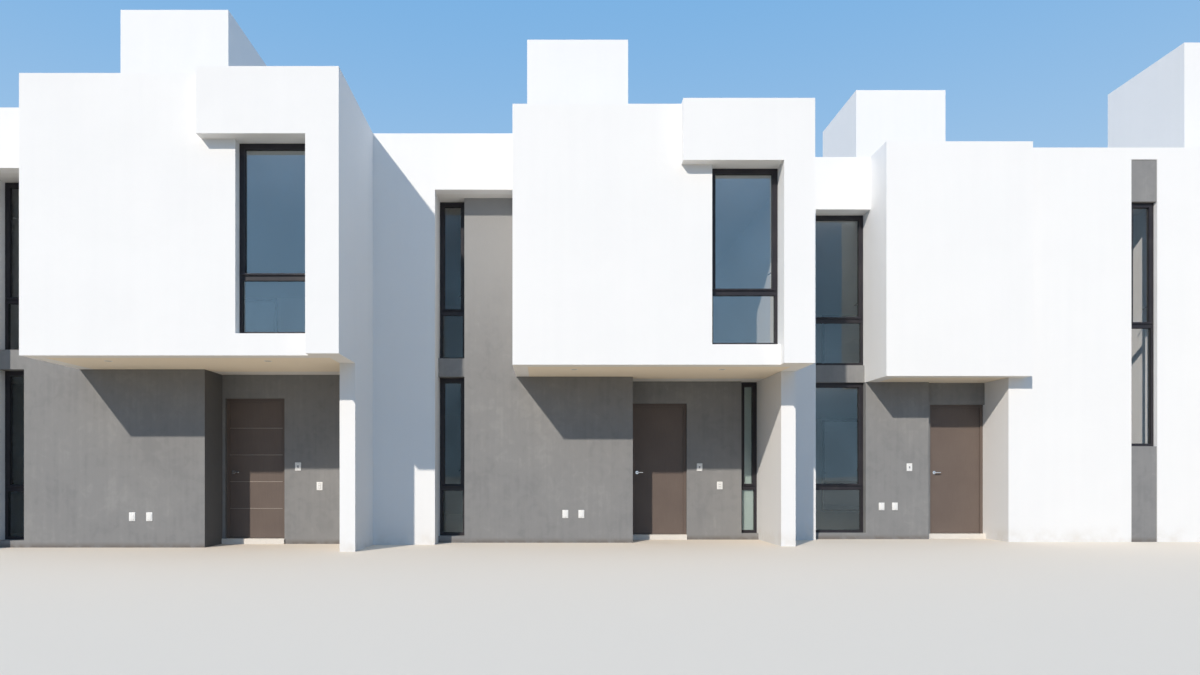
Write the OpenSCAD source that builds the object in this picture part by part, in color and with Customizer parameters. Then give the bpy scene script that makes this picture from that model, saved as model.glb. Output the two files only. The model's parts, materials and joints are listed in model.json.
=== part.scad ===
// A row of four two-storey terraced houses, millimetres, +Z up, street side towards -Y.
// The origin is at ground level, in the middle of the row's length and depth.
// Houses a, b and d share one plan: a wide upper box with a hooded window hangs over the porch.
// House c has a narrower box, wide windows beside it and a plain wall on the right.
// Inside a house, x is counted from its left party wall and y from the face of its box.

/* [Row] */
// Width of one house, party wall included
house_w = 6200; // [6100:50:7000]
// Depth from the face of a box to the inside of the rear wall
house_depth = 9000; // [8000:100:12000]
// How far house b stands back from house a
set_b = 835; // [300:5:1200]
// How far house c stands back from house a
set_c = 2060; // [1500:5:2600]
// Thickness of a party wall
party_t = 210; // [150:5:250]

/* [Heights] */
// Height of the ground floor above the ground
base_h = 80; // [50:5:100]
// Clear height of the ground-floor rooms
ground_room_h = 2465; // [2300:5:2900]
// Thickness of the upper floor
floor_t = 200; // [150:5:240]
// Clear height of the upper rooms
upper_room_h = 2535; // [2400:5:2900]
// Thickness of the roof
roof_t = 200; // [150:5:300]
// Height of the parapets above the roof
parapet_rise = 635; // [300:5:1000]
// Height of the roof towers above the parapets
tower_rise = 2040; // [1200:5:3000]

/* [Walls] */
// Thickness of the grey and plain outer walls
wall_t = 250; // [200:5:280]
// Thickness of the box walls and the white leaf walls
leaf_t = 200; // [150:5:230]
// Thickness of the rear walls
rear_t = 200; // [120:5:250]

/* [Wide houses] */
// Width of the white wall on the left
bay_w = 920; // [700:5:1100]
// How far the white wall stands behind the box
bay_set = 945; // [750:5:1100]
// Depth of the recess, from the white wall's face to the grey wall's face
recess_d = 365; // [260:5:500]
// Width of the slim windows in the recess
strip_w = 400; // [300:5:500]
// Width of the tall grey wall
grey_w = 795; // [600:5:900]
// Width of the porch, up to the party wall
porch_w = 2090; // [1950:5:2400]
// Depth of the porch, from the grey wall's face to the door wall's face
porch_d = 620; // [500:5:1100]
// How far the pier beside the porch stands behind the box
pier_set = 680; // [400:5:900]
// Width of the slim window beside the door
porch_win_w = 275; // [200:5:350]
// How far that window stands behind the door wall's face
porch_win_set = 110; // [90:5:120]

/* [Hood] */
// How far the hood stands out from the box
hood_out = 170; // [80:5:300]
// Length of the hood's top band
hood_w = 1775; // [1500:5:2200]
// Width of the hood's leg
leg_w = 417; // [300:1:500]
// Width of the hooded window
bay_win_w = 935; // [800:5:1000]

/* [House c] */
// Width of the white wall on the left
c_bay_w = 675; // [500:5:800]
// How far that white wall stands behind the narrow box
c_bay_set = 600; // [500:5:700]
// Depth from that white wall's face to the grey wall's face
c_recess_d = 190; // [100:5:300]
// Width of the wide windows
c_win_w = 875; // [700:5:1000]
// How far the wide windows stand behind the grey wall's face
c_win_set = 110; // [90:5:140]
// How far the grey band between them stands behind the grey wall's face
c_band_set = 50; // [0:5:80]
// Width of the narrow box
c_box_w = 2230; // [2150:5:2400]
// How far the plain wall stands behind the narrow box
c_wall_set = 230; // [210:5:400]
// Width of the white cheek beside the door
c_return_w = 240; // [220:5:280]
// How far the door wall stands behind the grey wall
c_door_set = 120; // [60:5:190]
// Strip of wall between the grey wall and the door frame
c_nib_w = 80; // [20:5:120]
// Distance from the stair window to the right end of the house
c_stair_gap = 355; // [260:5:800]
// Width of the stair window and its grey bands
c_stair_w = 400; // [300:5:440]
// Height of the stair window's foot above the ground floor
c_stair_rise = 1405; // [1000:5:2000]
// Height of the stair window's lower light
c_stair_light = 1845; // [1000:5:2400]
// White strip left above the upper grey band
c_stair_margin = 185; // [80:5:400]
// How far the grey bands lie below the plain wall's face
c_stair_groove = 10; // [5:1:30]
// How far the stair window stands behind the plain wall's face
c_stair_set = 75; // [40:5:150]
// Width of the stair opening in the upper floor
c_void_w = 1000; // [900:10:1600]
// Length of the stair opening in the upper floor
c_void_d = 2400; // [1800:10:3200]

/* [Towers] */
// Width of a tower
tower_w = 1650; // [1300:10:1900]
// Depth of a tower
tower_d = 1800; // [1500:10:2200]
// Thickness of the tower walls
tower_t = 150; // [100:5:200]
// Thickness of the tower's top slab
tower_cap_t = 150; // [100:5:250]
// How far the towers of houses a and b stand right of the box's left side
tower_in = 145; // [0:5:1500]
// How far those towers stand behind the grey wall
tower_back = 570; // [0:5:2000]
// How far the tower of house c stands right of its box's left side
c_tower_in = 545; // [0:5:1500]
// How far the tower of house c stands behind the grey wall
c_tower_back = 1570; // [0:5:2500]
// Distance of the tower of house d from its left party wall
d_tower_in = 670; // [300:5:2000]
// How far the tower of house d stands behind the grey wall
d_tower_back = 145; // [0:5:2000]

/* [Windows] */
// Face width of a window frame
frame_face = 40; // [25:1:50]
// Depth of a window frame
frame_d = 60; // [50:1:80]
// Height of the bar between a lower and an upper light
transom_t = 60; // [40:1:80]
// Face width of a casement
sash_face = 32; // [25:1:40]
// Depth of a casement
sash_d = 50; // [40:1:60]
// How far a casement stands proud of its frame
sash_out = 8; // [0:1:15]
// Height of the fixed lower lights, frame included
light_h = 700; // [500:5:1200]
// Height of the grey band between a lower and an upper window
band_h = 280; // [260:5:400]
// Height of the lower windows' sills above the ground floor
sill_rise = 20; // [0:5:200]
// Thickness of the glass
glass_t = 10; // [6:1:16]
// Width of the rear windows
rear_win_w = 1545; // [1200:5:1900]
// Distance of the rear windows from the party walls
rear_win_gap = 800; // [600:10:1000]

/* [Doors] */
// Width of a door with its frame
door_w = 890; // [850:5:1000]
// Height of a door with its frame
door_rise = 2110; // [2000:5:2250]
// Strip of wall between the porch's side and the door frame
nib_w = 45; // [20:5:80]
// How far a doorstep stands out from the door wall
step_out = 25; // [0:5:60]
// How far a door frame stands behind the door wall's face
door_in = 55; // [0:5:80]
// Face width of a door frame
jamb_face = 30; // [25:1:50]
// Gap round a door leaf
door_gap = 8; // [8:1:10]
// Thickness of a door leaf
leaf_d = 44; // [36:1:50]
// How far a door leaf stands behind its frame's face
leaf_set = 20; // [20:1:30]
// Depth and width of the lip in the frame that covers the gap round the leaf
stop_t = 14; // [12:1:14]
// Distance between the grooves of the grooved door
groove_pitch = 405; // [300:5:450]
// Width of a groove
groove_w = 8; // [4:1:12]
// Depth of a groove
groove_d = 5; // [3:1:8]
// Height of the lever handles above the ground floor
handle_rise = 1000; // [900:5:1100]
// Distance from a handle's spindle to the edge of its leaf
handle_edge = 60; // [45:1:80]
// Length of a lever
lever_l = 85; // [70:1:140]

/* [Hidden] */
$fn = 48;

WHITE = [0.94, 0.94, 0.92];
GREY = [0.40, 0.40, 0.40];
SLAB = [0.72, 0.70, 0.67];
BLACK = [0.07, 0.07, 0.08];
TAUPE = [0.30, 0.26, 0.23];
STEEL = [0.75, 0.75, 0.76];
PANE = [0.42, 0.50, 0.58];
STONE = [0.62, 0.60, 0.57];

// Heights, stacked from the ground up
soffit_h = base_h + ground_room_h;
upper_top = soffit_h + floor_t;
head_h = upper_top + upper_room_h;
roof_top = head_h + roof_t;
parapet_h = roof_top + parapet_rise;
tower_h = parapet_h + tower_rise;
lower_sill_h = base_h + sill_rise;
upper_sill_h = soffit_h + band_h;
door_top = base_h + door_rise;

// Plan of a wide house
clear_w = house_w - party_t;
bay_back = bay_set + leaf_t;
grey_set = bay_set + recess_d;
grey_back = grey_set + wall_t;
door_set = grey_set + porch_d;
door_back = door_set + wall_t;
strip_x = bay_w + strip_w;
box_x = strip_x + grey_w;
porch_x = clear_w - porch_w;
porch_wall_x = porch_x - wall_t;
door_x = porch_x + nib_w;
panel_x = door_x + door_w;
porch_win_x = clear_w - porch_win_w;
hood_x = house_w - hood_w;
leg_x = house_w - leg_w;
bay_win_x = leg_x - bay_win_w;

// Plan of house c
c_bay_back = c_bay_set + leaf_t;
c_grey_set = c_bay_set + c_recess_d;
c_grey_back = c_grey_set + wall_t;
c_wall_back = c_wall_set + wall_t;
c_box_x = c_bay_w + c_win_w;
c_box_end = c_box_x + c_box_w;
c_return_x = c_box_end - c_return_w;
c_door_x = c_return_x - door_w;
c_nib_x = c_door_x - c_nib_w;
c_door_y = c_grey_set + c_door_set;
c_door_back = c_door_y + wall_t;
c_stair_x = house_w - c_stair_gap - c_stair_w;
c_stair_sill = base_h + c_stair_rise;
c_stair_top = parapet_h - c_stair_margin;
c_void_x = clear_w - c_void_w;

// Places are [x, y, turn]; the plain wall of house c and the white wall of house d are in one plane
set_d = set_c + c_wall_set - bay_set;
row_l = 4 * house_w + party_t;
row_front = min(0, set_b, set_c, set_d) - hood_out;
row_back = max(0, set_b, set_c, set_d) + house_depth + rear_t;
a_at = [party_t - row_l / 2, -(row_front + row_back) / 2, 0];
b_at = a_at + [house_w, set_b, 0];
c_at = a_at + [2 * house_w, set_c, 0];
d_at = a_at + [3 * house_w, set_d, 0];
houses = [a_at, b_at, c_at, d_at];
wide = [a_at, b_at, d_at];

// The rear wall of a house, seen from the garden: x from its left end, y from its face inwards
function rear_of(place) = place + [clear_w, house_depth + rear_t, 180];

module at(place) {
    translate([place.x, place.y, 0]) rotate(place.z) children();
}

// An upright block between two opposite corners, each [x, y, z]
module block(low, high) {
    translate(low) cube(high - low);
}

// A flat plate with a given outline, from one height to another
module plate(outline, z0, z1) {
    translate([0, 0, z0]) linear_extrude(z1 - z0) polygon(outline);
}

// A wall panel drawn as [x, z] in its own face, from y0 to y1
module panel(y0, y1) {
    translate([0, y1, 0]) rotate([90, 0, 0]) linear_extrude(y1 - y0) children();
}

module rect(low, high) {
    translate(low) square(high - low);
}

// The corner of a floor behind a white wall of a given width, whose cheek it leaves room for
function bay_corner(w, front, back) = [[0, front], [w - leaf_t, front], [w - leaf_t, back]];
rear_corners = [[clear_w, house_depth], [0, house_depth]];

module ground_floors() {
    color(SLAB) {
        for (p = wide) at(p) plate([
            each bay_corner(bay_w, bay_back, grey_back),
            [porch_wall_x, grey_back], [porch_wall_x, door_back], [clear_w, door_back],
            each rear_corners
        ], 0, base_h);
        at(c_at) plate([
            each bay_corner(c_bay_w, c_bay_back, c_grey_back),
            [c_nib_x, c_grey_back], [c_nib_x, c_door_back], [c_box_end, c_door_back],
            [c_box_end, c_wall_back], [clear_w, c_wall_back],
            each rear_corners
        ], 0, base_h);
    }
}

// The wall on the right of a house, back to the rear of the deeper of its two neighbours
module party_wall(place, front, next) {
    block([place.x + clear_w, place.y + front, 0],
          [place.x + house_w, max(place.y, next.y) + house_depth + rear_t, parapet_h]);
}

module party_walls() {
    color(WHITE) {
        block([a_at.x - party_t, a_at.y + bay_set, 0],
              [a_at.x, a_at.y + house_depth + rear_t, parapet_h]);
        party_wall(a_at, pier_set, b_at);
        party_wall(b_at, pier_set, c_at);
        party_wall(c_at, c_wall_back, d_at);
        party_wall(d_at, pier_set, d_at);
    }
}

module bay_walls() {
    color(WHITE) {
        for (p = wide) at(p) block([0, bay_set, 0], [bay_w, bay_back, parapet_h]);
        at(c_at) block([0, c_bay_set, 0], [c_bay_w, c_bay_back, parapet_h]);
    }
}

// The cheeks between the white walls and the windows beside them
module bay_returns() {
    color(WHITE) {
        for (p = wide) at(p)
            block([bay_w - leaf_t, bay_back, 0], [bay_w, grey_back, head_h]);
        at(c_at)
            block([c_bay_w - leaf_t, c_bay_back, 0], [c_bay_w, c_grey_back, head_h]);
    }
}

module lintels() {
    color(WHITE) {
        for (p = wide) at(p) block([bay_w, bay_set, head_h], [box_x, bay_back, parapet_h]);
        at(c_at) block([c_bay_w, c_bay_set, head_h], [c_box_x, c_bay_back, parapet_h]);
    }
}

module tall_grey_walls() {
    color(GREY) for (p = wide) at(p) panel(grey_set, grey_back) difference() {
        rect([bay_w, 0], [box_x, head_h]);
        rect([bay_w, lower_sill_h], [strip_x, soffit_h]);
        rect([bay_w, upper_sill_h], [strip_x, head_h]);
    }
}

module low_grey_walls() {
    color(GREY) {
        for (p = wide) at(p) block([box_x, grey_set, 0], [porch_x, grey_back, soffit_h]);
        at(c_at) panel(c_grey_set, c_grey_back) {
            rect([c_bay_w, 0], [c_nib_x, lower_sill_h]);
            rect([c_box_x, 0], [c_nib_x, soffit_h]);
        }
    }
}

// The band between the wide windows of house c, and those under and over its stair window
module grey_bands() {
    color(GREY) at(c_at) {
        block([c_bay_w, c_grey_set + c_band_set, soffit_h], [c_box_x, c_grey_back, upper_sill_h]);
        panel(c_wall_set + c_stair_groove, c_wall_back) {
            rect([c_stair_x, 0], [c_stair_x + c_stair_w, c_stair_sill]);
            rect([c_stair_x, head_h], [c_stair_x + c_stair_w, c_stair_top]);
        }
    }
}

module porch_side_walls() {
    color(GREY) for (p = wide) at(p)
        block([porch_wall_x, grey_back, 0], [porch_x, door_back, soffit_h]);
}

module door_side_panels() {
    color(GREY) {
        for (p = wide) at(p) {
            block([porch_x, door_set, base_h], [door_x, door_back, soffit_h]);
            panel(door_set, door_back) difference() {
                rect([panel_x, 0], [clear_w, soffit_h]);
                rect([porch_win_x, lower_sill_h], [clear_w, soffit_h]);
            }
        }
        at(c_at) block([c_nib_x, c_door_y, base_h], [c_door_x, c_door_back, soffit_h]);
    }
}

module door_head_panels() {
    color(GREY) {
        for (p = wide) at(p)
            block([door_x, door_set, door_top], [panel_x, door_back, soffit_h]);
        at(c_at) block([c_door_x, c_door_y, door_top], [c_return_x, c_door_back, soffit_h]);
    }
}

// The white cheek on the right of the door of house c
module porch_return() {
    color(WHITE) at(c_at)
        block([c_return_x, c_wall_set, 0], [c_box_end, c_door_back, soffit_h]);
}

module plain_wall() {
    color(WHITE) at(c_at) panel(c_wall_set, c_wall_back) difference() {
        rect([c_box_end, 0], [house_w, parapet_h]);
        rect([c_stair_x, 0], [c_stair_x + c_stair_w, c_stair_top]);
    }
}

module box_fronts() {
    color(WHITE) {
        for (p = wide) at(p) panel(0, leaf_t) difference() {
            rect([box_x, soffit_h], [house_w, parapet_h]);
            rect([bay_win_x, upper_sill_h], [leg_x, head_h]);
        }
        at(c_at) block([c_box_x, 0, soffit_h], [c_box_end, leaf_t, parapet_h]);
    }
}

module box_left_walls() {
    color(WHITE) {
        for (p = wide) at(p)
            block([box_x, leaf_t, soffit_h], [box_x + leaf_t, grey_back, parapet_h]);
        at(c_at)
            block([c_box_x, leaf_t, soffit_h], [c_box_x + leaf_t, c_grey_back, parapet_h]);
    }
}

module box_right_walls() {
    color(WHITE) {
        for (p = wide) at(p)
            block([clear_w, leaf_t, soffit_h], [house_w, pier_set, parapet_h]);
        at(c_at)
            block([c_box_end - leaf_t, leaf_t, soffit_h], [c_box_end, c_wall_back, parapet_h]);
    }
}

// The raised band over the hooded window and the leg on its right, one bent piece
module hoods() {
    color(WHITE) for (p = wide) at(p) panel(-hood_out, 0) {
        rect([hood_x, head_h], [house_w, parapet_h]);
        rect([leg_x, soffit_h], [house_w, parapet_h]);
    }
}

// Outline of the part of house c in front of its grey wall, as far right as x
function c_front(x) = [
    [c_box_x + leaf_t, leaf_t], [c_box_end - leaf_t, leaf_t],
    [c_box_end - leaf_t, c_wall_back], [x, c_wall_back],
    [x, c_grey_back], [c_box_x + leaf_t, c_grey_back]
];

module box_floors() {
    color(SLAB) {
        for (p = wide) at(p)
            block([box_x + leaf_t, leaf_t, soffit_h], [clear_w, grey_back, upper_top]);
        at(c_at) plate(c_front(c_void_x), soffit_h, upper_top);
    }
}

// The floor of house c stays clear of the stair window
module upper_floors() {
    color(SLAB) {
        for (p = wide) at(p) plate([
            each bay_corner(bay_w, bay_back, grey_back),
            [clear_w, grey_back],
            each rear_corners
        ], soffit_h, upper_top);
        at(c_at) plate([
            each bay_corner(c_bay_w, c_bay_back, c_grey_back),
            [c_void_x, c_grey_back], [c_void_x, c_wall_back + c_void_d],
            [clear_w, c_wall_back + c_void_d],
            each rear_corners
        ], soffit_h, upper_top);
    }
}

module front_roofs() {
    color(SLAB) {
        for (p = wide) at(p) {
            block([0, bay_back, head_h], [box_x, grey_back, roof_top]);
            block([box_x + leaf_t, leaf_t, head_h], [clear_w, grey_back, roof_top]);
        }
        at(c_at) block([0, c_bay_back, head_h], [c_box_x, c_grey_back, roof_top]);
        at(c_at) plate(c_front(clear_w), head_h, roof_top);
    }
}

module roofs() {
    color(SLAB) {
        for (p = wide) at(p) block([0, grey_back, head_h], [clear_w, house_depth, roof_top]);
        at(c_at) block([0, c_grey_back, head_h], [clear_w, house_depth, roof_top]);
    }
}

// The left ends of the two rear windows on each storey
rear_xs = [rear_win_gap, clear_w - rear_win_gap - rear_win_w];

module rear_walls() {
    color(WHITE) for (p = houses) at(rear_of(p)) panel(0, rear_t) difference() {
        rect([0, 0], [clear_w, parapet_h]);
        for (x = rear_xs) {
            rect([x, lower_sill_h], [x + rear_win_w, soffit_h]);
            rect([x, upper_sill_h], [x + rear_win_w, head_h]);
        }
    }
}

towers = [
    a_at + [box_x + tower_in, grey_back + tower_back, 0],
    b_at + [box_x + tower_in, grey_back + tower_back, 0],
    c_at + [c_box_x + c_tower_in, c_grey_back + c_tower_back, 0],
    d_at + [d_tower_in, grey_back + d_tower_back, 0]
];

module tower_walls() {
    color(WHITE) for (p = towers) at(p) translate([0, 0, roof_top])
        linear_extrude(tower_h - tower_cap_t - roof_top) difference() {
            square([tower_w, tower_d]);
            rect([tower_t, tower_t], [tower_w - tower_t, tower_d - tower_t]);
        }
}

module tower_tops() {
    color(WHITE) for (p = towers) at(p)
        block([0, 0, tower_h - tower_cap_t], [tower_w, tower_d, tower_h]);
}

// The outer left corner of each door frame
door_a_at = a_at + [door_x, door_set + door_in, 0];
door_b_at = b_at + [door_x, door_set + door_in, 0];
door_c_at = c_at + [c_door_x, c_door_y + door_in, 0];
door_d_at = d_at + [door_x, door_set + door_in, 0];
doors = [door_a_at, door_b_at, door_c_at, door_d_at];

jamb_d = leaf_set + leaf_d;
leaf_x0 = jamb_face + door_gap;
leaf_x1 = door_w - jamb_face - door_gap;
leaf_z0 = base_h + door_gap;
leaf_z1 = door_top - jamb_face - door_gap;

module thresholds() {
    color(STONE) {
        for (p = wide) at(p)
            block([porch_x, door_set - step_out, 0], [panel_x, door_back, base_h]);
        at(c_at)
            block([c_nib_x, c_door_y - step_out, 0], [c_return_x, c_door_back, base_h]);
    }
}

// The clear opening inside a door frame, less a margin at both sides and the top
module doorway(margin) {
    rect([jamb_face + margin, base_h], [door_w - jamb_face - margin, door_top - jamb_face - margin]);
}

// A part of a door frame from y = 0 to y = depth, round a doorway less a margin
module door_rim(depth, margin) {
    panel(0, depth) difference() {
        rect([0, base_h], [door_w, door_top]);
        doorway(margin);
    }
}

// Frames with a lip on the street side that covers the gap round the leaf
module door_frames() {
    color(TAUPE) for (p = doors) at(p) {
        door_rim(jamb_d, 0);
        door_rim(stop_t, stop_t);
    }
}

hinge_r = 6;
hinge_l = 90;
hinge_flap_w = 26;
hinge_flap_t = 3;
// How far a hinge's axis stands behind the leaf's inner face
hinge_out = 13;
// Height of the lowest hinge above the leaf's foot, and depth of the highest below its top
hinge_end = 220;

// Barrel hinges whose flaps are fixed to the inner edge of each frame
module door_hinges() {
    hinge_zs = [leaf_z0 + hinge_end, (leaf_z0 + leaf_z1) / 2, leaf_z1 - hinge_end];
    color(STEEL) for (p = doors, z = hinge_zs) at(p)
        translate([leaf_x1 + door_gap / 2, jamb_d + hinge_out, z - hinge_l / 2]) {
            cylinder(r = hinge_r, h = hinge_l);
            translate([door_gap / 2, -hinge_out, 0]) {
                cube([hinge_flap_w, hinge_flap_t, hinge_l]);
                cube([hinge_flap_t, hinge_out, hinge_l]);
            }
        }
}

module door_leaf(place) {
    color(TAUPE) at(place)
        block([leaf_x0, leaf_set, leaf_z0], [leaf_x1, leaf_set + leaf_d, leaf_z1]);
}

// The same leaf with four level grooves on each face
module grooved_leaf(place) {
    color(TAUPE) difference() {
        door_leaf(place);
        at(place) for (k = [1:4], y = [leaf_set - groove_d, leaf_set + leaf_d - groove_d])
            translate([0, y, leaf_z1 - k * groove_pitch - groove_w / 2])
                cube([door_w, 2 * groove_d, groove_w]);
    }
}

module door_a() { grooved_leaf(door_a_at); }
module door_b() { door_leaf(door_b_at); }
module door_c() { door_leaf(door_c_at); }
module door_d() { door_leaf(door_d_at); }

rose_r = 26;
rose_t = 8;
neck_r = 9;
neck_l = 42;
lever_r = 9;

// A round rose, a neck and a lever that points to the hinge
module lever_set() {
    rotate([90, 0, 0]) cylinder(r = rose_r, h = rose_t);
    rotate([90, 0, 0]) cylinder(r = neck_r, h = neck_l);
    translate([0, -neck_l, 0]) {
        sphere(r = lever_r);
        rotate([0, 90, 0]) cylinder(r = lever_r, h = lever_l);
        translate([lever_l, 0, 0]) sphere(r = lever_r);
    }
}

// A lever set on each face of a leaf
module door_handle(place) {
    color(STEEL) at(place) translate([leaf_x0 + handle_edge, leaf_set, base_h + handle_rise]) {
        lever_set();
        translate([0, leaf_d, 0]) mirror([0, 1, 0]) lever_set();
    }
}

module handle_a() { door_handle(door_a_at); }
module handle_b() { door_handle(door_b_at); }
module handle_c() { door_handle(door_c_at); }
module handle_d() { door_handle(door_d_at); }

// A window as [place, low corner, high corner, face of its frame, underside of its transom]
function window(place, x, w, foot, head, face, light = light_h) =
    [place, [x, foot], [x + w, head], face, foot + light];

// A lower and an upper window over each other, with the face of their frames at y = face
function window_pair(place, x, w, face) = [
    window(place, x, w, lower_sill_h, soffit_h, face),
    window(place, x, w, upper_sill_h, head_h, face)
];

bay_windows = [
    for (p = wide) window(p, bay_win_x, bay_win_w, upper_sill_h, head_h, leaf_t - frame_d)
];
slim_windows = [
    for (p = wide) each window_pair(p, bay_w, strip_w, grey_back - frame_d),
    for (p = wide)
        window(p, porch_win_x, porch_win_w, lower_sill_h, soffit_h, door_set + porch_win_set),
    window(c_at, c_stair_x, c_stair_w, c_stair_sill, head_h, c_wall_set + c_stair_set,
           c_stair_light)
];
wide_windows = window_pair(c_at, c_bay_w, c_win_w, c_grey_set + c_win_set);
rear_windows = [
    for (p = houses, x = rear_xs) each window_pair(rear_of(p), x, rear_win_w, rear_t - frame_d)
];

// The fixed light below a window's transom
module lower_light(w) {
    rect(w[1] + [frame_face, frame_face], [w[2].x - frame_face, w[4]]);
}

// The light above the transom, less a margin on all sides
module upper_light(w, margin) {
    rect([w[1].x + frame_face + margin, w[4] + transom_t + margin],
         w[2] - [1, 1] * (frame_face + margin));
}

module frames_of(windows) {
    color(BLACK) for (w = windows) at(w[0]) panel(w[3], w[3] + frame_d) difference() {
        rect(w[1], w[2]);
        lower_light(w);
        upper_light(w, 0);
    }
}

module glass_of(windows) {
    color(PANE) for (w = windows) at(w[0])
        translate([0, w[3] + (frame_d - glass_t) / 2, 0]) panel(0, glass_t) {
            lower_light(w);
            upper_light(w, sash_face);
        }
}

module bay_window_frames() { frames_of(bay_windows); }
module bay_window_glass() { glass_of(bay_windows); }
module slim_window_frames() { frames_of(slim_windows); }
module slim_window_glass() { glass_of(slim_windows); }
module wide_window_frames() { frames_of(wide_windows); }
module wide_window_glass() { glass_of(wide_windows); }
module rear_window_frames() { frames_of(rear_windows); }
module rear_window_glass() { glass_of(rear_windows); }

// The casements that fill the upper lights, a little proud of their frames
module casement_sashes() {
    color(BLACK) for (w = [each bay_windows, each slim_windows, each wide_windows, each rear_windows])
        at(w[0]) panel(w[3] - sash_out, w[3] - sash_out + sash_d) difference() {
            upper_light(w, 0);
            upper_light(w, sash_face);
        }
}

plate_w = 90;
plate_h = 125;
plate_t = 9;
// Distances from the porch's left side, the door frame's right side or the narrow box's left side
socket_xs = [-1033, -788];
bell_x = 205;
switch_x = 530;
c_socket_xs = [255, 470];
c_bell_x = 705;
// Heights above the ground floor
socket_rise = 360;
c_socket_rise = 450;
bell_rise = 1085;
switch_rise = 790;

module wall_plate(x, y, rise) {
    translate([x - plate_w / 2, y - plate_t, base_h + rise - plate_h / 2])
        cube([plate_w, plate_t, plate_h]);
}

module wall_plates() {
    color(WHITE) {
        for (p = wide) at(p) {
            for (x = socket_xs) wall_plate(porch_x + x, grey_set, socket_rise);
            wall_plate(panel_x + bell_x, door_set, bell_rise);
            wall_plate(panel_x + switch_x, door_set, switch_rise);
        }
        at(c_at) {
            for (x = c_socket_xs) wall_plate(c_box_x + x, c_grey_set, c_socket_rise);
            wall_plate(c_box_x + c_bell_x, c_grey_set, bell_rise);
        }
    }
}

ground_floors();
party_walls();
bay_walls();
bay_returns();
lintels();
tall_grey_walls();
low_grey_walls();
grey_bands();
porch_side_walls();
door_side_panels();
door_head_panels();
porch_return();
plain_wall();
box_fronts();
box_left_walls();
box_right_walls();
hoods();
box_floors();
upper_floors();
front_roofs();
roofs();
rear_walls();
tower_walls();
tower_tops();
thresholds();
door_frames();
door_hinges();
door_a();
door_b();
door_c();
door_d();
handle_a();
handle_b();
handle_c();
handle_d();
bay_window_frames();
bay_window_glass();
slim_window_frames();
slim_window_glass();
wide_window_frames();
wide_window_glass();
rear_window_frames();
rear_window_glass();
casement_sashes();
wall_plates();
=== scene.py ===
import bpy
import bmesh
import json
import math
import numpy as np
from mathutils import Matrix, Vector

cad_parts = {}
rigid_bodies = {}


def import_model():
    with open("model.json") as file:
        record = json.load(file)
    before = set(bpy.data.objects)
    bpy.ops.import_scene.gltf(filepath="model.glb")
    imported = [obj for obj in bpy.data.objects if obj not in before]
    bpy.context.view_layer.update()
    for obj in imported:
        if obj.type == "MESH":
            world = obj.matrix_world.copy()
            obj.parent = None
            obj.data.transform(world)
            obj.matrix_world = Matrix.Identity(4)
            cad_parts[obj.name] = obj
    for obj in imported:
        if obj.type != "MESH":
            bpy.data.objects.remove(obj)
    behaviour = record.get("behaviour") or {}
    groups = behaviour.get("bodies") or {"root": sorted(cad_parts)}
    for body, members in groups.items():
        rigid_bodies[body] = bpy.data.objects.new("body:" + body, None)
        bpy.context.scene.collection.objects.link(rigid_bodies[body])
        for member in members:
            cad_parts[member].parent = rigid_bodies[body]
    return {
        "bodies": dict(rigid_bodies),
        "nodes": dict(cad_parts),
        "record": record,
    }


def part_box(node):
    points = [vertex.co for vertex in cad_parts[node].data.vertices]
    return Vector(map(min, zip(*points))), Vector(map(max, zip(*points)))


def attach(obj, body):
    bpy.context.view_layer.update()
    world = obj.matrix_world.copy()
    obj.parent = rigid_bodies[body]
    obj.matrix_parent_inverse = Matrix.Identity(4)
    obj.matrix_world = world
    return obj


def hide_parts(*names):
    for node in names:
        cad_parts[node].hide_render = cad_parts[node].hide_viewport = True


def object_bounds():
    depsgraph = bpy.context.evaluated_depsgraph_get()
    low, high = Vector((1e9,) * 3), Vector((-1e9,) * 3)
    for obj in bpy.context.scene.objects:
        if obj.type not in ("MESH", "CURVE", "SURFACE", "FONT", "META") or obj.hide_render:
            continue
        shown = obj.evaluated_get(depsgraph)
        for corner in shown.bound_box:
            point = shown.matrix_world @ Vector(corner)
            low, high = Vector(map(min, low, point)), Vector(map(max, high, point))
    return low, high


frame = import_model()
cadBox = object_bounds()
rowLow, rowHigh = (Vector(corner) for corner in cadBox)
print("frame loaded:", len(frame["nodes"]), "nodes")


# Camera and light

camera = {
    "lens": 24.0,            # mm, on a sensor 36 mm wide
    "sensor": 36.0,
    "eyeHeight": 1.012,      # m above the floor
    "fromLeftEnd": 9.011,    # m to the right of the row's left end
    "beforeRow": 9.941,      # m in front of the foremost hood
    "centreX": 548.0,        # px, where the view axis meets a picture 1200 by 675
    "centreY": 476.7,
    "pictureW": 1200.0,
    "pictureH": 675.0,
    "clipEnd": 5000.0,       # m, past the floor's far edge
}

light = {
    "sunAcross": 0.56,       # m that sunlight moves right, back and down
    "sunBack": 1.0,
    "sunDown": 0.735,
    "sunStrength": 3.38,
    "sunColour": (1.0, 0.91, 0.80),
    "sunAngle": 1.0,         # degrees
    "skyLight": (0.275, 0.455, 0.71),
    "skyLow": (0.50, 0.67, 0.84),        # seen behind the row and in the glass
    "skyHigh": (0.17, 0.42, 0.76),
    "skyTop": 0.65,                      # height of the view direction where the sky is darkest
    "glowColour": (1.0, 0.84, 0.66),     # a flat lamp on the floor, for the warm light from below
    "glowPower": 0.62,       # W per square metre
    "glowReach": (-0.6, 2.4),            # m towards the rear, from the foremost hood
    "glowHeight": 0.01,
    "glowSpread": 60.0,      # degrees
}

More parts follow.
